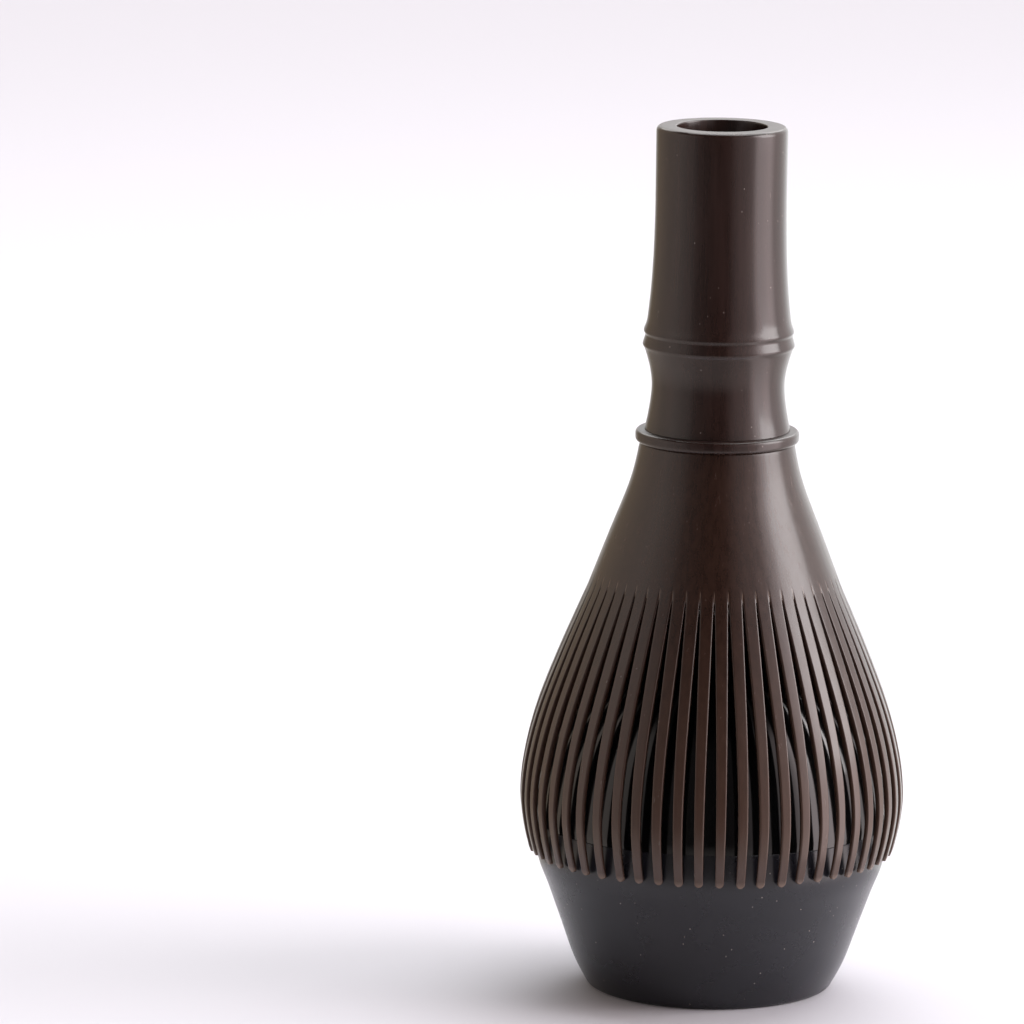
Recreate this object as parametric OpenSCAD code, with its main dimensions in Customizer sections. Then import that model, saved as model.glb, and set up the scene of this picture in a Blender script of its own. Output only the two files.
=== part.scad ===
// Moulded tea whisk standing tines down on its shaping stand.
// Millimetres, +Z up. The origin is the centre of the stand's foot, on the surface it stands on.
// The whisk is a hollow handle, a collar ring and a tine head; the stand is a dome bonded to a cup.

/* [Handle] */
// Height of the handle's rim above the table
rim_z = 137.3; // [130:0.1:145]
// Radius of the straight grip
grip_r = 10.3; // [9.8:0.1:10.8]
// Radius of the open bore in the top of the grip
bore_r = 7.1; // [5:0.1:7.5]
// Depth of the bore, down to the floor at the bamboo-style node
bore_depth = 33; // [15:0.5:33]
// Rounding of the rim's outer edge
rim_round = 0.8; // [0.2:0.05:1]
// Radius at the upper ridge of the node
upper_ridge_r = 11.8; // [11.4:0.05:12]
// Radius at the lower ridge of the node
lower_ridge_r = 11.95; // [11.5:0.05:12.2]
// Radius at the narrowest place of the waist
waist_r = 10.45; // [10:0.05:10.8]
// Radius at the foot of the handle, where it sits on the collar
handle_foot_r = 11.45; // [11:0.05:11.8]

/* [Collar] */
// Outer radius of the collar ring
collar_r = 12.9; // [12.5:0.1:13.5]
// Thickness of the collar ring
collar_h = 1.9; // [1.4:0.1:2.2]
// Rounding of the collar ring's outer edges
collar_round = 0.6; // [0.3:0.1:0.6]
// Height of the seam between the collar ring and the tine head
seam_z = 87.3; // [86.5:0.1:88]

/* [Tine head] */
// Number of tines
tine_count = 55; // [40:1:56]
// Turn of the tines about the whisk's axis, in degrees
tine_turn = 3.3; // [0:0.1:6.5]
// Outer radius at the shoulder under the collar
shoulder_r = 12.15; // [11.8:0.05:12.4]
// Outer radius of the skirt where the tines part from it
root_r = 20.1; // [19.7:0.1:20.3]
// Height at which the tines part from the skirt
root_z = 64; // [62:0.1:66]
// Largest outer radius of the spread tines
belly_r = 30.35; // [30:0.05:31]
// Height of that largest radius
belly_z = 31.2; // [30:0.1:33]
// Outer radius at the tips of the tines
tip_r = 28.75; // [28.7:0.05:29]
// Height of the tips above the table
tip_z = 21.6; // [20.5:0.1:22.5]
// Width of a tine at its root
root_w = 2.1; // [1.9:0.02:2.14]
// Width of a tine at its tip
tip_w = 1.36; // [1:0.02:1.6]
// Wall thickness at the shoulder
shoulder_wall = 2.4; // [1.8:0.1:3]
// Thickness of a tine at its tip
tip_wall = 0.7; // [0.5:0.05:0.75]

/* [Stand] */
// Radius of the flat foot
foot_r = 18.6; // [17:0.1:19]
// Largest radius of the stand, just under what the tips leave free
stand_r = 27.85; // [26:0.05:27.9]
// Height of the joint between the cup and the dome
stand_joint_z = 26.7; // [25:0.1:28]
// Height of the top of the dome
dome_top_z = 59.5; // [50:0.5:60]
// Fullness of the dome's curve: 2 is an ellipse, and more is fuller at its shoulder
dome_fullness = 2.1; // [2:0.1:2.7]
// Wall thickness of the cup and the dome
stand_wall = 2; // [1.5:0.1:3]

/* [Hidden] */
$fn = 96;

// Radial gap of the bonded spigots
bond_gap = 0.04;

// Handle: the heights of its foot, node and bore floor
handle_foot_z = seam_z + collar_h;
waist_z = handle_foot_z + 6.9;
lower_ridge_z = handle_foot_z + 13.6;
upper_ridge_z = lower_ridge_z + 2.1;
ridge_half = 0.45;
node_groove = 0.2;
flare_top_z = upper_ridge_z + 19;
floor_z = rim_z - bore_depth;
bore_edge = 0.25;

// Neck of the tine head, which fills the socket under the handle
neck_r = 8.2;
neck_wall = 1.8;
neck_top_z = handle_foot_z + 10.8;
socket_z = neck_top_z + 0.5;

// Tines: how far each root is set into the skirt, and the flats of a rounded tip
root_set_in = 1.2;
root_straight = 0.4;
root_inset = 0.07;
tip_flats = 4;

// Stand: the dome's lip inside the cup, the recess under the foot and the cup's corner
lip_h = 3.2;
lip_wall = 1.4;
foot_ring_w = 3;
foot_recess = 0.8;
foot_corner = 0.95;

// A point between the knots b and c of a curve that passes through a, b, c and d
function between(a, b, c, d, t) =
    0.5 * (2 * b + (c - a) * t + (2 * a - 5 * b + 4 * c - d) * t * t
    + (3 * b - a - 3 * c + d) * t * t * t);

// A smooth curve through the knots, with the same number of steps between each two
function curve(knots, steps) = let (last = len(knots) - 1) [
    for (i = [0 : last - 1], s = [0 : steps - 1])
        between(knots[max(i - 1, 0)], knots[i], knots[i + 1], knots[min(i + 2, last)], s / steps),
    knots[last]
];

// Part of a circle about a centre, as [radius, height] points
function arc(centre, r, from, to, steps) = [
    for (s = [0 : steps])
        let (a = from + (to - from) * s / steps) centre + r * [cos(a), sin(a)]
];

// The point at a height on the line through two points
function extended(p, q, z) = p + (q - p) * (z - p[1]) / (q[1] - p[1]);

function reversed(points) = [for (i = [len(points) - 1 : -1 : 0]) points[i]];

// Thickness of the tine head's wall at a height
function head_wall(z) =
    let (up = max((z - tip_z) / (seam_z - tip_z), 0)) tip_wall + (shoulder_wall - tip_wall) * pow(up, 1.6);

// Width of a tine at a height
function tine_w(z) = tip_w + (root_w - tip_w) * (z - tip_z) / (root_z - tip_z);

// Inside of the tine head, from its outside
function inner(points) = [for (p = points) [p[0] - head_wall(p[1]), p[1]]];

// Outside of the skirt, which flares from the shoulder to the roots of the tines
skirt_outside = curve([
    [shoulder_r, seam_z],
    [shoulder_r + 1.45, seam_z - 6.3],
    [shoulder_r + 4.7, seam_z - 14.8],
    [root_r, root_z]
], 3);

// Outside of a tine, which flares, rounds over the belly and turns in at its tip
tine_outside = curve([
    [root_r, root_z],
    [belly_r - 5.95, 54],
    [belly_r - 2.55, 45],
    [belly_r - 0.65, 37.5],
    [belly_r, belly_z],
    [belly_r - 0.5, belly_z - 5],
    [tip_r, tip_z]
], 2);

// A body of revolution from the outline of its half section
module ring(outline) {
    rotate_extrude() polygon(outline);
}

// The tube that is held: bore from the top, node with two ridges, waist, socket from below
module handle() {
    waist = curve([
        [handle_foot_r, handle_foot_z],
        [(waist_r + handle_foot_r) / 2 - 0.15, (waist_z + handle_foot_z) / 2],
        [waist_r, waist_z],
        [waist_r + 0.3, waist_z + 2.8],
        [lower_ridge_r - 0.45, lower_ridge_z - 1.1]
    ], 3);
    node_ridges = [
        [lower_ridge_r - 0.08, lower_ridge_z - ridge_half],
        [lower_ridge_r, lower_ridge_z],
        [lower_ridge_r - 0.1, lower_ridge_z + ridge_half],
        [upper_ridge_r - node_groove, (lower_ridge_z + upper_ridge_z) / 2 + 0.2],
        [upper_ridge_r - 0.06, upper_ridge_z - ridge_half],
        [upper_ridge_r, upper_ridge_z]
    ];
    flare = curve([
        [upper_ridge_r - 0.12, upper_ridge_z + ridge_half],
        [grip_r + 1, upper_ridge_z + 2.1],
        [grip_r + 0.5, upper_ridge_z + 6.8],
        [grip_r + 0.15, upper_ridge_z + 12.6],
        [grip_r, flare_top_z]
    ], 3);
    color("#3b2924") ring(concat(
        [[neck_r + bond_gap, handle_foot_z]],
        waist,
        node_ridges,
        flare,
        arc([grip_r - rim_round, rim_z - rim_round], rim_round, 0, 90, 5),
        [
            [bore_r + bore_edge, rim_z],
            [bore_r, rim_z - bore_edge],
            [bore_r, floor_z],
            [0, floor_z],
            [0, socket_z],
            [neck_r + bond_gap, socket_z]
        ]
    ));
}

// The ring trapped between the handle and the head, in the place of a bamboo whisk's binding
module collar() {
    edge_r = collar_r - collar_round;
    color("#43302a") ring(concat(
        [[neck_r + bond_gap, seam_z]],
        arc([edge_r, seam_z + collar_round], collar_round, -90, 0, 4),
        arc([edge_r, handle_foot_z - collar_round], collar_round, 0, 90, 4),
        [[neck_r + bond_gap, handle_foot_z]]
    ));
}

// The top of the head: neck, shoulder and the flared skirt that the tines grow from
module skirt() {
    ceiling_z = seam_z - shoulder_wall;
    neck_bore_r = neck_r - neck_wall;
    ring(concat(
        [
            [neck_bore_r, neck_top_z],
            [neck_r, neck_top_z],
            [neck_r, seam_z]
        ],
        skirt_outside,
        [for (p = reversed(inner(skirt_outside))) if (p[1] < ceiling_z) p],
        [
            [shoulder_r - shoulder_wall, ceiling_z],
            [neck_bore_r, ceiling_z]
        ]
    ));
}

// One tine seen from its side: its curve and its thickness, with a root that goes up into the skirt
module tine_curve() {
    wall = head_wall(root_z);
    below_root = [for (p = tine_outside) if (p[1] < root_z) p];
    inside = inner(below_root);
    set_in_z = root_z + root_straight;
    rotate([90, 0, 0]) linear_extrude(height = 2 * root_w, center = true) polygon(concat(
        [
            extended(inside[0], [root_r - wall + root_inset, root_z], set_in_z),
            [root_r - wall / 2 - 0.5, root_z + root_set_in],
            [root_r - wall / 2 - 0.2, root_z + root_set_in],
            extended(below_root[0], [root_r - root_inset, root_z], set_in_z)
        ],
        below_root,
        reversed(inside)
    ));
}

// One tine seen from its front: it narrows downwards to a rounded tip
module tine_front() {
    top_z = root_z + root_set_in + 1;
    side = concat(
        [[tine_w(top_z) / 2, top_z]],
        arc([0, tip_z + tip_w / 2], tip_w / 2, 0, -72, tip_flats)
    );
    rotate([90, 0, 90]) linear_extrude(height = belly_r + 2)
        polygon(concat(side, [for (p = reversed(side)) [-p[0], p[1]]]));
}

// The skirt and its tines, one moulding
module tine_head() {
    color("#46332b") rotate(tine_turn) union() {
        skirt();
        for (i = [0 : tine_count - 1]) rotate(360 * i / tine_count)
            intersection() {
                tine_curve();
                tine_front();
            }
    }
}

// A dome's curve from its widest place up to its top
function dome_curve(r, h) = let (power = 2 / dome_fullness) [
    for (a = [0 : 6 : 90]) [r * pow(cos(a), power), stand_joint_z + h * pow(sin(a), power)]
];

// Upper half of the stand, which the tines close over, with a lip that sits inside the cup
module stand_dome() {
    dome_h = dome_top_z - stand_joint_z;
    lip_r = stand_r - stand_wall - bond_gap;
    inside_r = lip_r - lip_wall;
    color("#17171a") ring(concat(
        [
            [inside_r, stand_joint_z - lip_h],
            [lip_r, stand_joint_z - lip_h],
            [lip_r, stand_joint_z]
        ],
        dome_curve(stand_r, dome_h),
        reversed(dome_curve(inside_r, dome_h - stand_wall))
    ));
}

// Lower half of the stand: a tapered cup on a flat foot with a shallow recess
module stand_cup() {
    outside = curve([
        [foot_r + foot_corner, 0.55],
        [stand_r - 6.25, 4.5],
        [stand_r - 3.95, 10.9],
        [stand_r - 2.15, 15.9],
        [stand_r - 0.7, 19.6],
        [stand_r - 0.1, 22.6],
        [stand_r, stand_joint_z]
    ], 2);
    floor_top_z = foot_recess + stand_wall;
    color("#232327") ring(concat(
        [
            [0, foot_recess],
            [foot_r - foot_ring_w, foot_recess],
            [foot_r - foot_ring_w + 0.3, 0],
            [foot_r, 0],
            [foot_r + 0.65 * foot_corner, 0.15]
        ],
        outside,
        [for (p = reversed(outside)) if (p[1] > floor_top_z + 1) [p[0] - stand_wall, p[1]]],
        [
            [foot_r, floor_top_z],
            [0, floor_top_z]
        ]
    ));
}

handle();
collar();
tine_head();
stand_dome();
stand_cup();
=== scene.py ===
"""Looks for a moulded tea whisk that stands tines down on its black shaping stand.

The CAD model is the fixed frame. Each piece here is a finer mesh of one CAD part, with its
material, and rides on that part's body. The outlines are half sections, as (radius, height)
in millimetres in the CAD frame.
"""

import math
import random

import bmesh
import bpy
from bpy.props import FloatProperty, IntProperty, PointerProperty, StringProperty
from bpy.types import Operator, Panel, PropertyGroup
from mathutils import Euler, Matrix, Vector


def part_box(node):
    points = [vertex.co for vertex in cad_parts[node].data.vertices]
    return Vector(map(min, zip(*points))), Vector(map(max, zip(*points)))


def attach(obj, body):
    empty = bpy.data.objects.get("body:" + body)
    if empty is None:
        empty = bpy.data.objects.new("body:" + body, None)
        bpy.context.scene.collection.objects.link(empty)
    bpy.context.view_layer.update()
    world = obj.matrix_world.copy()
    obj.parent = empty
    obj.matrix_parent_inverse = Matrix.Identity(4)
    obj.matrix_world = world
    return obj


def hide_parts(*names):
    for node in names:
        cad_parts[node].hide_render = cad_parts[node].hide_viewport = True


bl_info = {
    "name": "Tea Whisk On Its Stand",
    "version": (1, 0, 0),
    "blender": (4, 5, 0),
    "location": "3D View > Sidebar > Tea Whisk",
    "description": "Builds the handle, collar, tines, stand and studio around the CAD frame",
    "category": "Add Mesh",
}

MM = 0.001
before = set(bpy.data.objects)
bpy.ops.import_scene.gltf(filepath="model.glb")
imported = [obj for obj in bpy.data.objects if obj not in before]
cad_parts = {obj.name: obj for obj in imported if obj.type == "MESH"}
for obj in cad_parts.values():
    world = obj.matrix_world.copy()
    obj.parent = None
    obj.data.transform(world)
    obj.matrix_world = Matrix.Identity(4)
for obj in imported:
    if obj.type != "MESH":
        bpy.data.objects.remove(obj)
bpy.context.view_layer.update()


def cad_size(node):
    """Largest radius, lowest height and highest height of a CAD node, in millimetres."""
    low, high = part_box(node)
    return high.x / MM, low.z / MM, high.z / MM


HANDLE_R, HANDLE_FOOT_Z, RIM_Z = cad_size("handle")
COLLAR_R, SEAM_Z, COLLAR_TOP_Z = cad_size("collar")
BELLY_R, TIP_Z, NECK_TOP_Z = cad_size("tine_head")
STAND_R, LIP_Z, DOME_TOP_Z = cad_size("stand_dome")
JOINT_Z = cad_size("stand_cup")[2]
# The head's neck runs up through the collar into the handle, with a little play all round.
NECK_R = 8.2
NECK_PLAY = 0.04
# The handle's foot is this wide where it sits on the collar.
SEAT_R = 11.45
LATHE_STEPS = 288
SEED = 11


class WhiskSizes(PropertyGroup):
    """Sizes of the whisk, in millimetres."""

    grip_r: FloatProperty(
        name="Grip radius", description="Radius of the straight grip", default=10.3, min=9.8, max=10.8
    )
    bore_r: FloatProperty(
        name="Bore radius", description="Radius of the open bore in the grip", default=7.1, min=5, max=7.5
    )
    bore_depth: FloatProperty(
        name="Bore depth", description="Depth of the bore, down to the node", default=33, min=15, max=33
    )
    waist_r: FloatProperty(
        name="Waist radius", description="Radius at the narrowest place", default=10.45, min=10, max=10.8
    )
    tine_count: IntProperty(
        name="Tines", description="Number of tines round the whisk", default=55, min=40, max=56
    )
    tine_turn: FloatProperty(
        name="Tine turn",
        description="Turn of the tines about the axis, in degrees",
        default=3.3,
        min=0,
        max=6.5,
    )
    root_w: FloatProperty(
        name="Root width",
        description="Width of a tine where it leaves the skirt",
        default=2.1,
        min=1.9,
        max=2.14,
    )
    tip_w: FloatProperty(
        name="Tip width", description="Width of a tine at its tip", default=1.36, min=1, max=1.6
    )
    tip_r: FloatProperty(
        name="Tip radius", description="Outer radius at the tips", default=28.75, min=28.7, max=29
    )


class StandSizes(PropertyGroup):
    """Sizes of the stand, in millimetres."""

    foot_r: FloatProperty(
        name="Foot radius", description="Radius of the flat foot", default=18.6, min=17, max=19
    )
    wall: FloatProperty(
        name="Wall", description="Wall thickness of the cup and the dome", default=2, min=1.5, max=3
    )
    fullness: FloatProperty(
        name="Fullness",
        description="2 makes the dome an ellipse; more fills its shoulder",
        default=2.1,
        min=2,
        max=2.7,
    )


class ResinColours(PropertyGroup):
    """Colours of the moulded resins, as sRGB hex values."""

    handle: StringProperty(name="Handle", description="Brown of the handle and collar", default="#2C1D19")
    tines: StringProperty(name="Tines", description="Brown of the tine head", default="#2F1E17")
    dome: StringProperty(name="Dome", description="Black of the glossy dome", default="#0A0A0B")
    cup: StringProperty(name="Cup", description="Charcoal of the satin cup", default="#1B1B21")
    dust: StringProperty(name="Dust", description="Flecks of dust on the resin", default="#B9ADA6")


class StageSettings(PropertyGroup):
    """Camera and studio."""

    camera_height: FloatProperty(
        name="Camera height", description="Height of the camera", default=0.3021, unit="LENGTH"
    )
    camera_back: FloatProperty(
        name="Camera distance",
        description="Camera's distance in front of the axis",
        default=1.2344,
        unit="LENGTH",
    )
    camera_side: FloatProperty(
        name="Camera side step",
        description="How far left of the axis the camera is",
        default=0.03214,
        unit="LENGTH",
    )
    camera_pitch: FloatProperty(
        name="Camera pitch", description="How far the camera looks down, in degrees", default=10.4
    )
    camera_roll: FloatProperty(
        name="Camera roll", description="Roll of the camera, in degrees", default=0.68
    )
    lens: FloatProperty(name="Lens", description="Focal length in millimetres", default=280)
    floor_colour: StringProperty(name="Floor", description="Colour of the paper floor", default="#D8D7DE")


def curve(knots, steps):
    """A smooth curve through the knots, with the same number of steps between each two."""
    points = []
    last = len(knots) - 1
    for i in range(last):
        a, b, c, d = (knots[min(max(k, 0), last)] for k in (i - 1, i, i + 1, i + 2))
        for s in range(steps):
            t = s / steps
            points.append(
                tuple(
                    0.5
                    * (
                        2 * q
                        + (r - p) * t
                        + (2 * p - 5 * q + 4 * r - u) * t**2
                        + (3 * q - p - 3 * r + u) * t**3
                    )
                    for p, q, r, u in zip(a, b, c, d)
                )
            )
    return points + [tuple(knots[last])]


def arc(centre_r, centre_z, radius, start, end, steps=6):
    """Part of a circle, from one angle to another in degrees."""
    angles = [math.radians(start + (end - start) * s / steps) for s in range(steps + 1)]
    return [(centre_r + radius * math.cos(a), centre_z + radius * math.sin(a)) for a in angles]


def new_piece(name, bm, sharp_angle):
    """A smooth-shaded object from a bmesh, with edges sharper than the angle left crisp."""
    bmesh.ops.recalc_face_normals(bm, faces=bm.faces)
    mesh = bpy.data.meshes.new(name)
    bm.to_mesh(mesh)
    bm.free()
    mesh.polygons.foreach_set("use_smooth", [True] * len(mesh.polygons))
    mesh.set_sharp_from_angle(angle=math.radians(sharp_angle))
    piece = bpy.data.objects.new(name, mesh)
    bpy.context.scene.collection.objects.link(piece)
    return piece


def lathe(name, outline, sharp_angle=32):
    """A closed body of revolution from the closed outline of its half section, in millimetres."""
    bm = bmesh.new()
    rings = []
    for r, z in outline:
        if r < 1e-6:
            rings.append([bm.verts.new((0, 0, z * MM))])
            continue
        ring = []
        for k in range(LATHE_STEPS):
            a = 2 * math.pi * k / LATHE_STEPS
            ring.append(bm.verts.new((r * MM * math.cos(a), r * MM * math.sin(a), z * MM)))
        rings.append(ring)
    for upper, lower in zip(rings, rings[1:] + rings[:1]):
        if len(upper) == len(lower) == 1:
            continue
        for k in range(LATHE_STEPS):
            n = (k + 1) % LATHE_STEPS
            above = [upper[k % len(upper)], upper[n % len(upper)]]
            below = [lower[n % len(lower)], lower[k % len(lower)]]
            bm.faces.new(list(dict.fromkeys(above + below)))
    return new_piece(name, bm, sharp_angle)


def settle(piece, body, node, material):
    """Puts a finished piece on its body, in the place of its CAD node, with its material."""
    piece.data.materials.append(material)
    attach(piece, body)
    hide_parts(node)


def linear(hex_colour):
    """An sRGB hex colour as a linear RGBA value."""
    parts = [int(hex_colour[i : i + 2], 16) / 255 for i in (1, 3, 5)]
    return tuple(p / 12.92 if p <= 0.04045 else ((p + 0.055) / 1.055) ** 2.4 for p in parts) + (1.0,)


def add_node(tree, kind, settings=None, links=None):
    """Adds a node. A setting is an input's value where the node has that input, or an attribute."""
    node = tree.nodes.new(kind)
    for key, value in (settings or {}).items():
        if isinstance(key, int) or key in node.inputs:
            node.inputs[key].default_value = value
        else:
            setattr(node, key, value)
    for key, source in (links or {}).items():
        tree.links.new(source, node.inputs[key])
    return node


def new_resin(name, colour, roughness):
    """An opaque moulded resin. ABS, nylon and PBT all have an IOR of about 1.53."""
    material = bpy.data.materials.new(name)
    material.use_nodes = True
    material.diffuse_color = linear(colour)
    tree = material.node_tree
    tree.nodes.clear()
    shader = add_node(
        tree,
        "ShaderNodeBsdfPrincipled",
        {"Base Color": linear(colour), "Roughness": roughness, "IOR": 1.53},
    )
    add_node(tree, "ShaderNodeOutputMaterial", links={"Surface": shader.outputs["BSDF"]})
    place = add_node(tree, "ShaderNodeTexCoord").outputs["Object"]
    return material, tree, shader, place


def squeeze(tree, place, size_mm, stretch):
    """The place in cells of that size, each of them stretch times as tall as it is wide."""
    across, upwards = 1000 / size_mm, 1000 / (size_mm * stretch)
    return add_node(
        tree, "ShaderNodeMapping", {"Scale": (across, across, upwards)}, {"Vector": place}
    ).outputs["Vector"]


def ramp_up(tree, source, low, high, least=0.0, most=1.0):
    """Goes from least at low to most at high, and high may be the smaller of the two."""
    return add_node(
        tree,
        "ShaderNodeMapRange",
        {"From Min": low, "From Max": high, "To Min": least, "To Max": most},
        {"Value": source},
    ).outputs["Result"]


def colour_ramp(tree, source, stops):
    """A colour ramp with its stops given as position and linear colour."""
    ramp = add_node(tree, "ShaderNodeValToRGB", links={"Fac": source})
    elements = ramp.color_ramp.elements
    for position, colour in stops[1:-1]:
        elements.new(position)
    elements[0].position = stops[0][0]
    elements[-1].position = stops[-1][0]
    for element, (position, colour) in zip(elements, stops):
        element.color = colour
    return ramp.outputs["Color"]


def shade(hex_colour, share):
    """A hex colour made lighter or darker by a share of itself."""
    return tuple(part * (1 + share) for part in linear(hex_colour)[:3]) + (1.0,)


def mottle(tree, place, shader, colour, contrast, patch_mm, stretch=1.0):
    """Cloudy or streaky colour from the flow of the melt. A stretch above 1 draws it out upwards.

    Returns the colour, and the pattern behind it.
    """
    cloud = add_node(
        tree,
        "ShaderNodeTexNoise",
        {"Scale": 1.0, "Detail": 5.0, "Roughness": 0.62},
        {"Vector": squeeze(tree, place, patch_mm, stretch)},
    ).outputs["Fac"]
    stops = [(0.34, shade(colour, -contrast)), (0.68, shade(colour, contrast))]
    clouded = colour_ramp(tree, cloud, stops)
    tree.links.new(clouded, shader.inputs["Base Color"])
    return clouded, cloud


def flecks(tree, place, cell_mm, fleck_mm, share, stretch=1.0):
    """A mask of scattered specks, one in some of the cells of a grid of cell_mm."""
    cells = add_node(
        tree,
        "ShaderNodeTexVoronoi",
        {"Scale": 1.0, "Randomness": 1.0},
        {"Vector": squeeze(tree, place, cell_mm, stretch)},
    )
    chosen = add_node(
        tree,
        "ShaderNodeMath",
        {"operation": "LESS_THAN", 1: share},
        {0: cells.outputs["Color"]},
    )
    fleck_r = fleck_mm / cell_mm
    near = ramp_up(tree, cells.outputs["Distance"], fleck_r, 0.35 * fleck_mm / cell_mm)
    return add_node(
        tree, "ShaderNodeMath", {"operation": "MULTIPLY"}, {0: chosen.outputs["Value"], 1: near}
    ).outputs["Value"]


def lighten(tree, shader, base, mask, colour, strength):
    """Lays a lighter colour over the base where the mask is."""
    softened = add_node(tree, "ShaderNodeMath", {"operation": "MULTIPLY", 1: strength}, {0: mask})
    mixed = add_node(
        tree,
        "ShaderNodeMix",
        {"data_type": "RGBA", 7: linear(colour)},
        {0: softened.outputs["Value"], 6: base},
    )
    tree.links.new(mixed.outputs[2], shader.inputs["Base Color"])
    return mixed.outputs[2]


def uneven_gloss(tree, source, shader, low, high):
    """Roughness that wanders between two values with a pattern. Returns it."""
    spread = ramp_up(tree, source, 0.3, 0.7, low, high)
    tree.links.new(spread, shader.inputs["Roughness"])
    return spread


def relief(tree, place, shader, grain_mm, depth_mm, stretch=1.0):
    """Fine surface relief from a noise of that grain."""
    grain = add_node(
        tree,
        "ShaderNodeTexNoise",
        {"Scale": 1.0, "Detail": 3.0, "Roughness": 0.55},
        {"Vector": squeeze(tree, place, grain_mm, stretch)},
    )
    bump = add_node(
        tree,
        "ShaderNodeBump",
        {"Strength": 1.0, "Distance": depth_mm * MM},
        {"Height": grain.outputs["Fac"]},
    )
    tree.links.new(bump.outputs["Normal"], shader.inputs["Normal"])


def handle_resin(colours):
    """Brown thermoplastic, injection moulded in a satin-polished mould, handled and dusty.

    It gives the eye crisp-edged reflections, faint upright streaks and a few light specks. The
    rim's flat end is left matt by the mould, so that it mirrors less at a glancing angle.
    """
    material, tree, shader, place = new_resin("brown_resin_satin_moulded", colours.handle, 0.2)
    base, cloud = mottle(tree, place, shader, colours.handle, 0.23, patch_mm=1.6, stretch=16)
    specks = flecks(tree, place, cell_mm=1.1, fleck_mm=0.1, share=0.35, stretch=1.6)
    base = lighten(tree, shader, base, specks, colours.dust, 0.5)
    rubs = flecks(tree, place, cell_mm=0.9, fleck_mm=0.05, share=0.3, stretch=14)
    lighten(tree, shader, base, rubs, colours.dust, 0.35)
    relief(tree, place, shader, grain_mm=0.5, depth_mm=0.003)
    gloss = uneven_gloss(tree, cloud, shader, 0.15, 0.24)
    normal = add_node(tree, "ShaderNodeNewGeometry").outputs["Normal"]
    up = add_node(tree, "ShaderNodeSeparateXYZ", links={"Vector": normal}).outputs["Z"]
    matt = ramp_up(tree, up, 0.75, 0.97, 0.0, 0.45)
    rough = add_node(tree, "ShaderNodeMath", {"operation": "MAXIMUM"}, {0: gloss, 1: matt})
    tree.links.new(rough.outputs["Value"], shader.inputs["Roughness"])
    return material


def tine_resin(colours):
    """The same brown thermoplastic, with the lengthwise lines that the mould's blades leave.

    The lines are about 0.1 mm apart on the real thing and drawn at 0.35 mm, so that they show.
    The grooves that lead into the slots are scratched lighter. The tines are painted lighter from the belly
    down, as painted light from the bright floor, and the tip ends carry a painted highlight.
    """
    # Light tan for the scratches in the grooves, and for the painted highlight on the tip ends.
    scratch_and_highlight_tan = "#9A8474"
    material, tree, shader, place = new_resin("brown_resin_lined_moulded", colours.tines, 0.25)
    base, lines = mottle(tree, place, shader, colours.tines, 0.21, patch_mm=0.9, stretch=14)
    specks = flecks(tree, place, cell_mm=1.6, fleck_mm=0.1, share=0.12)
    base = lighten(tree, shader, base, specks, colours.dust, 0.4)
    scores = add_node(tree, "ShaderNodeAttribute", {"attribute_name": "scored"}).outputs["Fac"]
    base = lighten(tree, shader, base, scores, scratch_and_highlight_tan, 0.5)
    height = add_node(tree, "ShaderNodeSeparateXYZ", links={"Vector": place}).outputs["Z"]
    # Painted light: the tines are painted lighter from the belly down, for the light that the bright floor
    # throws up on them.
    painted_floor_light = ramp_up(tree, height, 62 * MM, 30 * MM)
    base = lighten(tree, shader, base, painted_floor_light, "#6A5245", 0.35)
    # Painted highlight: the tip ends are painted light tan, for the light that their rounded edges catch.
    tips = ramp_up(tree, height, (TIP_Z + 1.1) * MM, (TIP_Z + 0.2) * MM)
    lighten(tree, shader, base, tips, scratch_and_highlight_tan, 0.35)
    relief(tree, place, shader, grain_mm=0.35, depth_mm=0.003, stretch=22)
    uneven_gloss(tree, lines, shader, 0.18, 0.28)
    return material


def dome_resin(colours):
    """Black thermoplastic from a mirror-polished mould: it reflects the tines around it crisply."""
    material, tree, shader, place = new_resin("black_resin_gloss_moulded", colours.dome, 0.1)
    base, cloud = mottle(tree, place, shader, colours.dome, 0.15, patch_mm=9)
    specks = flecks(tree, place, cell_mm=2, fleck_mm=0.1, share=0.15)
    lighten(tree, shader, base, specks, colours.dust, 0.4)
    relief(tree, place, shader, grain_mm=1.6, depth_mm=0.002)
    uneven_gloss(tree, cloud, shader, 0.08, 0.12)
    return material


def cup_resin(colours):
    """Black thermoplastic with a satin skin, dusty from handling.

    It gives the eye a soft gradient from side to side, dust specks and a few upright hairlines.
    """
    material, tree, shader, place = new_resin("black_resin_satin_moulded", colours.cup, 0.28)
    base, cloud = mottle(tree, place, shader, colours.cup, 0.15, patch_mm=12)
    specks = flecks(tree, place, cell_mm=1.4, fleck_mm=0.13, share=0.4)
    base = lighten(tree, shader, base, specks, colours.dust, 0.8)
    hairs = flecks(tree, place, cell_mm=0.9, fleck_mm=0.07, share=0.16, stretch=22)
    lighten(tree, shader, base, hairs, colours.dust, 0.6)
    relief(tree, place, shader, grain_mm=1.2, depth_mm=0.001)
    uneven_gloss(tree, cloud, shader, 0.24, 0.3)
    return material


def paper(colour):
    """Matt white background paper: no gloss, so it only shows the soft contact shadow."""
    material = bpy.data.materials.new("white_paper_matt")
    material.use_nodes = True
    shader = material.node_tree.nodes["Principled BSDF"]
    shader.inputs["Base Color"].default_value = linear(colour)
    shader.inputs["Roughness"].default_value = 0.9
    shader.inputs["Specular IOR Level"].default_value = 0.1
    return material


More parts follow.
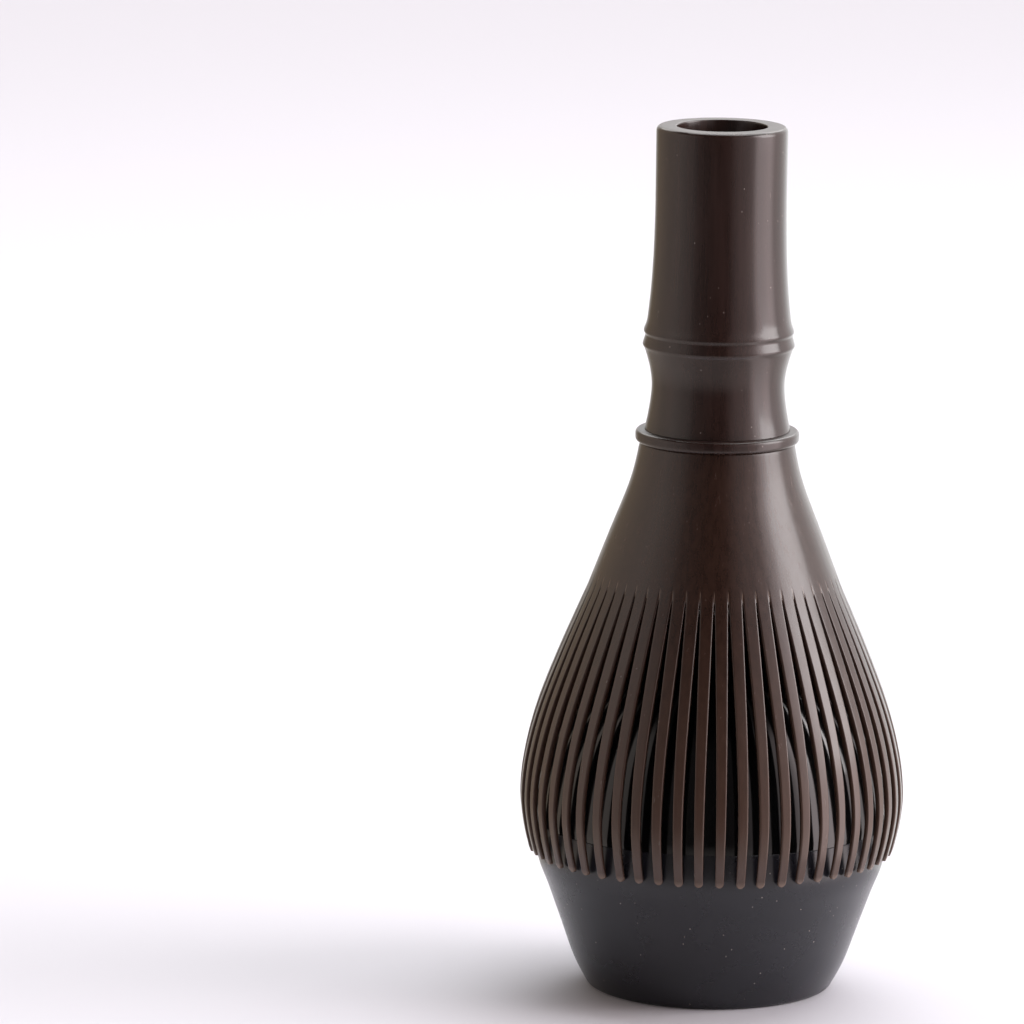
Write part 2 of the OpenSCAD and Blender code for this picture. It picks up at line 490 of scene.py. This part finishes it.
def handle_outline(sizes):
    """Half section of the handle, from the socket round the outside and back down the bore."""
    socket_r = NECK_R + NECK_PLAY
    socket_z = NECK_TOP_Z + 0.5
    lower = HANDLE_FOOT_Z + 13.6
    upper = lower + 2.1
    floor_z = RIM_Z - sizes.bore_depth
    floor_round = 1.2
    rim_round = 0.8
    lip_round = 0.25
    outside = curve(
        [
            (SEAT_R, HANDLE_FOOT_Z + 0.06),
            (0.5 * (sizes.waist_r + SEAT_R) - 0.15, HANDLE_FOOT_Z + 3.45),
            (sizes.waist_r, HANDLE_FOOT_Z + 6.9),
            (sizes.waist_r + 0.3, HANDLE_FOOT_Z + 9.7),
            (HANDLE_R - 0.45, lower - 1.1),
            (HANDLE_R - 0.06, lower - 0.28),
            (HANDLE_R, lower),
            (HANDLE_R - 0.07, lower + 0.32),
            (HANDLE_R - 0.27, lower + 1.0),
            (HANDLE_R - 0.37, lower + 1.42),
            (HANDLE_R - 0.31, lower + 1.66),
            (HANDLE_R - 0.17, upper - 0.14),
            (HANDLE_R - 0.15, upper + 0.06),
            (HANDLE_R - 0.23, upper + 0.4),
            (sizes.grip_r + 1.06, upper + 1.5),
            (sizes.grip_r + 0.8, upper + 3.4),
            (sizes.grip_r + 0.45, upper + 7.2),
            (sizes.grip_r + 0.15, upper + 12.6),
            (sizes.grip_r, upper + 19),
            (sizes.grip_r, RIM_Z - 4),
        ],
        5,
    )
    return (
        [(socket_r, HANDLE_FOOT_Z), (SEAT_R - 0.06, HANDLE_FOOT_Z)]
        + outside
        + arc(sizes.grip_r - rim_round, RIM_Z - rim_round, rim_round, 0, 90)
        + arc(sizes.bore_r + lip_round, RIM_Z - lip_round, lip_round, 90, 180, 4)
        + arc(sizes.bore_r - floor_round, floor_z + floor_round, floor_round, 0, -90, 5)
        + [(0, floor_z), (0, socket_z), (socket_r, socket_z)]
    )


def collar_outline():
    """Half section of the collar ring, with rounded outer edges."""
    hole_r = NECK_R + NECK_PLAY
    edge = 0.62
    return (
        [(hole_r, COLLAR_TOP_Z), (hole_r, SEAM_Z)]
        + arc(COLLAR_R - edge, SEAM_Z + edge, edge, -90, 0)
        + arc(COLLAR_R - edge, COLLAR_TOP_Z - edge, edge, 0, 90)
    )


def head_wall(z):
    """Thickness of the tine head's wall at a height."""
    up = max((z - TIP_Z) / (SEAM_Z - TIP_Z), 0)
    return 0.7 + 1.7 * up**1.6


class TineHead:
    """The tine head as one closed mesh: neck, shoulder and skirt, and the tines that it splits into.

    Round the whisk, each tine has eight columns of points: the middle of the slot before it, its
    rounded left edge, its face, and its rounded right edge. Above the roots the same columns go
    on up the skirt, and the one in the slot makes the groove that leads into it.
    """

    # Sizes in millimetres. The grooves start at GROOVE_Z and open into slots at ROOT_Z. They are
    # at their full width from GROOVE_FULL_R outwards.
    SHOULDER_R = 12.15
    BORE_R = 6.4
    ROOT_R = 20.1
    ROOT_Z = 64.0
    GROOVE_Z = 66.9
    GROOVE_HALF = 0.087
    GROOVE_FULL_R = 15
    EDGE = 0.13
    COLUMNS = 8

    def __init__(self, sizes):
        self.sizes = sizes
        self.count = sizes.tine_count
        self.bm = bmesh.new()
        self.scored = self.bm.verts.layers.float.new("scored")
        wander = random.Random(SEED)
        self.lean = [wander.uniform(-0.16, 0.16) for _ in range(self.count)]
        self.spread = [wander.uniform(-0.12, 0.06) for _ in range(self.count)]
        self.reach = [wander.uniform(-0.05, 0.2) for _ in range(self.count)]

    def tine_w(self, z):
        """Width of a tine at a height."""
        share = (z - TIP_Z) / (self.ROOT_Z - TIP_Z)
        return self.sizes.tip_w + (self.sizes.root_w - self.sizes.tip_w) * share

    def offsets(self, half, edge):
        """Sideways places of a tine's columns, without the slot's."""
        return [-half, edge - half, 2 * edge - half, 0, half - 2 * edge, half - edge, half]

    def point(self, tine, sideways, at_r, r, z):
        """A point that is sideways of the middle of a tine, as it measures at radius at_r."""
        turn = math.radians(self.sizes.tine_turn) + 2 * math.pi * tine / self.count
        a = turn + math.asin(sideways / at_r)
        return self.bm.verts.new((r * MM * math.cos(a), r * MM * math.sin(a), z * MM))

    def skirt_ring(self, r, z, groove=0.0, rounding=0.0, score=0.0):
        """A ring of points round the skirt. The groove is the depth of the slots' columns there.

        The score is how light the scratch in the groove is, as a share.
        """
        half_pitch = math.pi * r / self.count
        slot_half = self.GROOVE_HALF * min(1, r / self.GROOVE_FULL_R)
        ring = []
        for tine in range(self.count):
            middle = self.point(tine, -half_pitch, r, r - groove, z)
            middle[self.scored] = score
            ring.append(middle)
            places = self.offsets(half_pitch - slot_half, self.EDGE)
            for column, sideways in enumerate(places):
                corner = rounding if column in (0, len(places) - 1) else 0
                ring.append(self.point(tine, sideways, r, r - corner, z))
        return ring

    def join(self, upper, lower, columns=None):
        """Faces between two rings, all round or at some of the columns only."""
        total = len(upper)
        for k in range(total):
            if columns is None or k % self.COLUMNS in columns:
                n = (k + 1) % total
                self.bm.faces.new((upper[k], upper[n], lower[n], lower[k]))

    def skirt(self):
        """The skirt's rings from the neck's top round to its bore. Returns the two root rings."""
        outside = curve(
            [
                (self.SHOULDER_R, SEAM_Z - 0.08),
                (self.SHOULDER_R + 1.45, SEAM_Z - 6.3),
                (self.SHOULDER_R + 4.7, SEAM_Z - 14.8),
                (self.ROOT_R, self.ROOT_Z),
            ],
            9,
        )
        last = outside[-1]
        before = [p for p in outside if p[1] > self.GROOVE_Z + 0.4]
        flare = (last[0] - before[-1][0]) / (last[1] - before[-1][1])
        lead = (self.GROOVE_Z, 66.3, 65.7, 65.1, 64.5)
        grooved = [(last[0] + flare * (z - last[1]), z) for z in lead] + [last]
        ceiling_z = SEAM_Z - 2.4
        rings = [
            self.skirt_ring(self.BORE_R, NECK_TOP_Z),
            self.skirt_ring(NECK_R, NECK_TOP_Z),
            self.skirt_ring(NECK_R, SEAM_Z),
            self.skirt_ring(self.SHOULDER_R - 0.1, SEAM_Z),
        ]
        rings += [self.skirt_ring(r, z) for r, z in before]
        for r, z in grooved:
            share = (self.GROOVE_Z - z) / (self.GROOVE_Z - self.ROOT_Z)
            depth = (0.05 * share + 0.8 * share**6) * head_wall(z)
            score = min(1, 5 * share) * (1 - share**2)
            rings.append(self.skirt_ring(r, z, depth, share * self.EDGE, score))
        outer_root = rings[-1]
        inner = []
        for r, z in reversed(before + grooved):
            if z < ceiling_z:
                share = max((self.GROOVE_Z - z) / (self.GROOVE_Z - self.ROOT_Z), 0)
                inner.append(self.skirt_ring(r - head_wall(z), z, 0, -share * self.EDGE))
        inner_root = inner[0]
        inner.append(self.skirt_ring(self.SHOULDER_R - 2.4, ceiling_z))
        inner.append(self.skirt_ring(self.BORE_R, ceiling_z))
        for upper, lower in zip(rings, rings[1:]):
            self.join(upper, lower)
        for upper, lower in zip(inner, inner[1:]):
            self.join(upper, lower)
        self.join(inner[-1], rings[0])
        self.join(outer_root, inner_root, columns=(self.COLUMNS - 1, 0))
        return outer_root, inner_root

    def tine_rows(self):
        """Outer radius, height, half width and wall of a tine, row by row from below its root."""
        path = curve(
            [
                (self.ROOT_R, self.ROOT_Z),
                (BELLY_R - 5.95, 54),
                (BELLY_R - 2.55, 45),
                (BELLY_R - 0.65, 37.5),
                (BELLY_R, 31.2),
                (BELLY_R - 0.5, 26.2),
                (self.sizes.tip_r, TIP_Z),
            ],
            8,
        )
        tip_half = self.sizes.tip_w / 2
        centre_z = TIP_Z + tip_half
        rows = [(r, z, self.tine_w(z) / 2, head_wall(z)) for r, z in path[1:] if z > centre_z + 0.2]
        end_r, end_z = rows[-1][:2]
        slope = (self.sizes.tip_r - end_r) / (TIP_Z - end_z)
        for s in range(8):
            a = math.radians(11.5 * s)
            z = centre_z - tip_half * math.sin(a)
            r = end_r + slope * (z - end_z) - 0.1 * math.sin(a)
            wall = head_wall(z) * (0.7 + 0.3 * math.cos(a))
            rows.append((r, z, tip_half * math.cos(a), wall))
        return rows

    def tine(self, k, outer_root, inner_root):
        """One tine, from its columns of the root rings down to its rounded tip."""
        first = k * self.COLUMNS + 1
        upper_out = outer_root[first : first + self.COLUMNS - 1]
        upper_in = inner_root[first : first + self.COLUMNS - 1]
        for r, z, half, wall in self.tine_rows():
            down = (self.ROOT_Z - z) / (self.ROOT_Z - TIP_Z)
            edge = min(self.EDGE, 0.3 * half)
            places = self.offsets(half, edge)
            side = self.lean[k] * down**1.5
            r_out = r + self.spread[k] * down**2
            row_z = z + self.reach[k] * down**6
            outer, inner = [], []
            for column, place in enumerate(places):
                corner = edge if column in (0, len(places) - 1) else 0
                outer.append(self.point(k, place + side, r_out, r_out - corner, row_z))
                r_in = r_out - wall
                inner.append(self.point(k, place + side, r_in, r_in + corner, row_z))
            for c in range(len(places) - 1):
                self.bm.faces.new((upper_out[c], upper_out[c + 1], outer[c + 1], outer[c]))
                self.bm.faces.new((upper_in[c + 1], upper_in[c], inner[c], inner[c + 1]))
            self.bm.faces.new((upper_out[-1], upper_in[-1], inner[-1], outer[-1]))
            self.bm.faces.new((upper_in[0], upper_out[0], outer[0], inner[0]))
            upper_out, upper_in = outer, inner
        for c in range(len(upper_out) - 1):
            self.bm.faces.new((upper_out[c], upper_out[c + 1], upper_in[c + 1], upper_in[c]))

    def build(self, name):
        """The whole head as a piece."""
        outer_root, inner_root = self.skirt()
        for k in range(self.count):
            self.tine(k, outer_root, inner_root)
        return new_piece(name, self.bm, sharp_angle=58)


def dome_curve(r, z, height, fullness):
    """A dome's curve from its widest place up to its top."""
    steps = 60
    power = 2 / fullness
    turns = [math.radians(90 * k / steps) for k in range(steps)]
    side = [(r * math.cos(a) ** power, z + height * math.sin(a) ** power) for a in turns]
    return side + [(0, z + height)]


def dome_outline(sizes):
    """Half section of the dome, with the lip that sits inside the cup."""
    height = DOME_TOP_Z - JOINT_Z
    lip_r = STAND_R - sizes.wall - 0.04
    inside_r = lip_r - 1.4
    lip = [(inside_r, LIP_Z), (lip_r, LIP_Z), (lip_r, JOINT_Z), (STAND_R - 0.1, JOINT_Z)]
    outside = dome_curve(STAND_R, JOINT_Z, height, sizes.fullness)
    inside = dome_curve(inside_r, JOINT_Z, height - sizes.wall, sizes.fullness)
    return lip + outside[1:] + inside[::-1]


def cup_outline(sizes):
    """Half section of the cup: foot ring, tapered side that rounds under to it, and inside."""
    floor_z = 0.8
    outside = curve(
        [
            (sizes.foot_r + 0.95, 0.55),
            (STAND_R - 6.25, 4.5),
            (STAND_R - 3.95, 10.9),
            (STAND_R - 2.15, 15.9),
            (STAND_R - 0.7, 19.6),
            (STAND_R - 0.1, 22.6),
            (STAND_R, JOINT_Z - 0.1),
        ],
        9,
    )
    inside = [(r - sizes.wall, z) for r, z in reversed(outside) if z > floor_z + sizes.wall + 1]
    return (
        [(0, floor_z), (sizes.foot_r - 3, floor_z), (sizes.foot_r - 2.7, 0), (sizes.foot_r, 0)]
        + [(sizes.foot_r + 0.38, 0.08), (sizes.foot_r + 0.72, 0.27)]
        + outside
        + [(STAND_R - 0.1, JOINT_Z), (STAND_R - sizes.wall, JOINT_Z)]
        + inside
        + [(sizes.foot_r, floor_z + sizes.wall), (0, floor_z + sizes.wall)]
    )


class WHISK_OT_handle(Operator):
    """Builds the hollow handle with its node, waist and open bore"""

    bl_idname = "whisk.handle"
    bl_label = "Handle"

    def execute(self, context):
        piece = lathe("whisk_handle", handle_outline(context.scene.whisk_sizes), sharp_angle=40)
        settle(piece, "whisk", "handle", handle_resin(context.scene.whisk_colours))
        return {"FINISHED"}


class WHISK_OT_collar(Operator):
    """Builds the collar ring between the handle and the tine head"""

    bl_idname = "whisk.collar"
    bl_label = "Collar"

    def execute(self, context):
        piece = lathe("whisk_collar", collar_outline())
        settle(piece, "whisk", "collar", handle_resin(context.scene.whisk_colours))
        return {"FINISHED"}


class WHISK_OT_tine_head(Operator):
    """Builds the skirt and all its tines as one moulding"""

    bl_idname = "whisk.tine_head"
    bl_label = "Tine head"

    def execute(self, context):
        piece = TineHead(context.scene.whisk_sizes).build("whisk_tine_head")
        settle(piece, "whisk", "tine_head", tine_resin(context.scene.whisk_colours))
        return {"FINISHED"}


class WHISK_OT_stand(Operator):
    """Builds the two halves of the stand: the glossy dome and the tapered cup"""

    bl_idname = "whisk.stand"
    bl_label = "Stand"

    def execute(self, context):
        sizes = context.scene.stand_sizes
        colours = context.scene.whisk_colours
        dome = lathe("stand_dome_shell", dome_outline(sizes))
        settle(dome, "stand", "stand_dome", dome_resin(colours))
        cup = lathe("stand_cup_shell", cup_outline(sizes))
        settle(cup, "stand", "stand_cup", cup_resin(colours))
        return {"FINISHED"}


def disc(name, inner_r, outer_r, material):
    """A flat ring or disc of floor, in metres."""
    steps = 128
    bm = bmesh.new()
    turns = [2 * math.pi * k / steps for k in range(steps)]
    outer = [bm.verts.new((outer_r * math.cos(a), outer_r * math.sin(a), 0)) for a in turns]
    if inner_r:
        inner = [bm.verts.new((inner_r * math.cos(a), inner_r * math.sin(a), 0)) for a in turns]
        for k in range(steps):
            n = (k + 1) % steps
            bm.faces.new((inner[k], outer[k], outer[n], inner[n]))
    else:
        bm.faces.new(outer)
    mesh = bpy.data.meshes.new(name)
    bm.to_mesh(mesh)
    bm.free()
    floor = bpy.data.objects.new(name, mesh)
    floor.data.materials.append(material)
    bpy.context.scene.collection.objects.link(floor)
    return floor


def softbox(name, place, target, width, height, watts):
    """A rectangular area light that faces a point."""
    lamp = bpy.data.lights.new(name, "AREA")
    lamp.shape = "RECTANGLE"
    lamp.size = width
    lamp.size_y = height
    lamp.energy = watts
    light = bpy.data.objects.new(name, lamp)
    light.location = place
    light.rotation_euler = (Vector(target) - Vector(place)).to_track_quat("-Z", "Y").to_euler()
    bpy.context.scene.collection.objects.link(light)


# The studio's walls of light, as degrees round from the front to the right, tint and brightness:
# dark in front where the camera stands, a tall softbox at the right, white behind.
STUDIO = [
    (-180, "#FFFFFF", 1.2),
    (-150, "#E2CCAE", 0.48),
    (-120, "#E8D6C4", 0.78),
    (-80, "#EFE2DA", 0.92),
    (-50, "#F2E8E4", 0.5),
    (-42, "#F2E8E4", 0.22),
    (-18, "#F2E8E4", 0.08),
    (0, "#F2E8E4", 0.03),
    (14, "#F4E6E6", 0.08),
    (24, "#F6E6E6", 0.5),
    (45, "#F8E8E8", 0.85),
    (57, "#FAEAEA", 1.3),
    (64, "#FFF0F1", 3.5),
    (94, "#FFF0F1", 3.7),
    (104, "#FFF4F4", 1.5),
    (125, "#FFF8F8", 1.3),
    (150, "#FFFFFF", 1.6),
    (180, "#FFFFFF", 1.2),
]
STUDIO_PEAK = 3.8
# How bright the walls are at each height, as degrees above the level: dim towards the floor,
# brightest at the softbox's middle, and nearly dark overhead.
STUDIO_HEIGHTS = [
    (-90, 0.4),
    (-40, 0.5),
    (-17, 0.9),
    (-9, 1.0),
    (0, 1.05),
    (17, 1.15),
    (30, 1.25),
    (37, 1.0),
    (46, 0.1),
    (90, 0.1),
]
HEIGHTS_PEAK = 1.25


def studio_world():
    """Light from all round: walls that differ by direction and height, and a pale glow from below.

    The camera itself sees plain white behind the object.
    """
    world = bpy.data.worlds.new("studio")
    world.use_nodes = True
    tree = world.node_tree
    tree.nodes.clear()
    way = add_node(tree, "ShaderNodeTexCoord").outputs["Generated"]
    parts = add_node(tree, "ShaderNodeSeparateXYZ", links={"Vector": way})
    front = add_node(tree, "ShaderNodeMath", {"operation": "MULTIPLY", 1: -1.0}, {0: parts.outputs["Y"]})
    turn = add_node(
        tree, "ShaderNodeMath", {"operation": "ARCTAN2"}, {0: parts.outputs["X"], 1: front.outputs["Value"]}
    )
    around = []
    for degrees, tint, brightness in STUDIO:
        colour = [c * brightness / STUDIO_PEAK for c in linear(tint)[:3]] + [1.0]
        around.append(((degrees + 180) / 360, colour))
    upwards = []
    for degrees, brightness in STUDIO_HEIGHTS:
        grey = [brightness / HEIGHTS_PEAK] * 3 + [1.0]
        upwards.append(((math.sin(math.radians(degrees)) + 1) / 2, grey))
    walls_colour = colour_ramp(tree, ramp_up(tree, turn.outputs["Value"], -math.pi, math.pi), around)
    strength = add_node(
        tree,
        "ShaderNodeMath",
        {"operation": "MULTIPLY", 1: STUDIO_PEAK * HEIGHTS_PEAK},
        {0: colour_ramp(tree, ramp_up(tree, parts.outputs["Z"], -1.0, 1.0), upwards)},
    )
    walls = add_node(
        tree,
        "ShaderNodeBackground",
        links={"Color": walls_colour, "Strength": strength.outputs["Value"]},
    )
    below = ramp_up(tree, parts.outputs["Z"], -0.2, -0.5, 0.0, 0.5)
    glow = add_node(tree, "ShaderNodeBackground", {"Color": linear("#FFF6F2")}, {"Strength": below})
    room = add_node(tree, "ShaderNodeAddShader", links={0: walls.outputs[0], 1: glow.outputs[0]})
    seen = add_node(tree, "ShaderNodeBackground", {"Color": (1, 1, 1, 1), "Strength": 1.0})
    ray = add_node(tree, "ShaderNodeLightPath").outputs["Is Camera Ray"]
    mixed = add_node(tree, "ShaderNodeMixShader", links={0: ray, 1: room.outputs[0], 2: seen.outputs[0]})
    add_node(tree, "ShaderNodeOutputWorld", links={"Surface": mixed.outputs[0]})
    bpy.context.scene.world = world


class WHISK_OT_stage(Operator):
    """Builds the pale floor, the studio light and the camera"""

    bl_idname = "whisk.stage"
    bl_label = "Stage"

    def execute(self, context):
        stage = context.scene.stage_settings
        near_r, far_r = 0.07, 6.0
        white = paper(stage.floor_colour)
        disc("floor_near", 0, near_r, white)
        # The far floor isn't mirrored in the gloss, where the dark of the room would be.
        disc("floor_far", near_r, far_r, white).visible_glossy = False
        studio_world()
        softbox("right", (0.98, -0.04, 0.56), (0, 0, 0.07), 0.62, 0.85, 6.4)
        softbox("overhead", (0.15, 0.35, 0.9), (0, 0.1, 0), 0.9, 0.9, 8.0)
        softbox("behind", (0, 2.2, 1.6), (0, 1.6, 0), 3.0, 1.6, 30.0)
        lens = bpy.data.cameras.new("camera")
        lens.lens = stage.lens
        lens.sensor_width = 36
        lens.clip_start = 0.05
        camera = bpy.data.objects.new("camera", lens)
        camera.location = (-stage.camera_side, -stage.camera_back, stage.camera_height)
        aim = Euler((math.radians(90 - stage.camera_pitch), 0, 0)).to_matrix()
        roll = Euler((0, 0, math.radians(stage.camera_roll))).to_matrix()
        camera.rotation_euler = (aim @ roll).to_euler()
        context.scene.collection.objects.link(camera)
        context.scene.camera = camera
        context.scene.view_settings.view_transform = "Standard"
        return {"FINISHED"}


class WHISK_PT_panel(Panel):
    """Lists the pieces in the sidebar"""

    bl_label = "Tea Whisk"
    bl_space_type = "VIEW_3D"
    bl_region_type = "UI"
    bl_category = "Tea Whisk"

    def draw(self, context):
        for operator in OPERATORS:
            self.layout.operator(operator.bl_idname)
        for group in SETTINGS:
            for name in SETTINGS[group].__annotations__:
                self.layout.prop(getattr(context.scene, group), name)


SETTINGS = {
    "whisk_sizes": WhiskSizes,
    "stand_sizes": StandSizes,
    "whisk_colours": ResinColours,
    "stage_settings": StageSettings,
}
OPERATORS = [WHISK_OT_handle, WHISK_OT_collar, WHISK_OT_tine_head, WHISK_OT_stand, WHISK_OT_stage]


def register():
    for cls in [*SETTINGS.values(), *OPERATORS, WHISK_PT_panel]:
        bpy.utils.register_class(cls)
    for name, group in SETTINGS.items():
        setattr(bpy.types.Scene, name, PointerProperty(type=group))


def unregister():
    for name in SETTINGS:
        delattr(bpy.types.Scene, name)
    for cls in [WHISK_PT_panel, *reversed(OPERATORS), *reversed(SETTINGS.values())]:
        bpy.utils.unregister_class(cls)


def main():
    register()
    bpy.ops.whisk.handle()
    bpy.ops.whisk.collar()
    bpy.ops.whisk.tine_head()
    bpy.ops.whisk.stand()
    bpy.ops.whisk.stage()


if __name__ == "__main__":
    main()
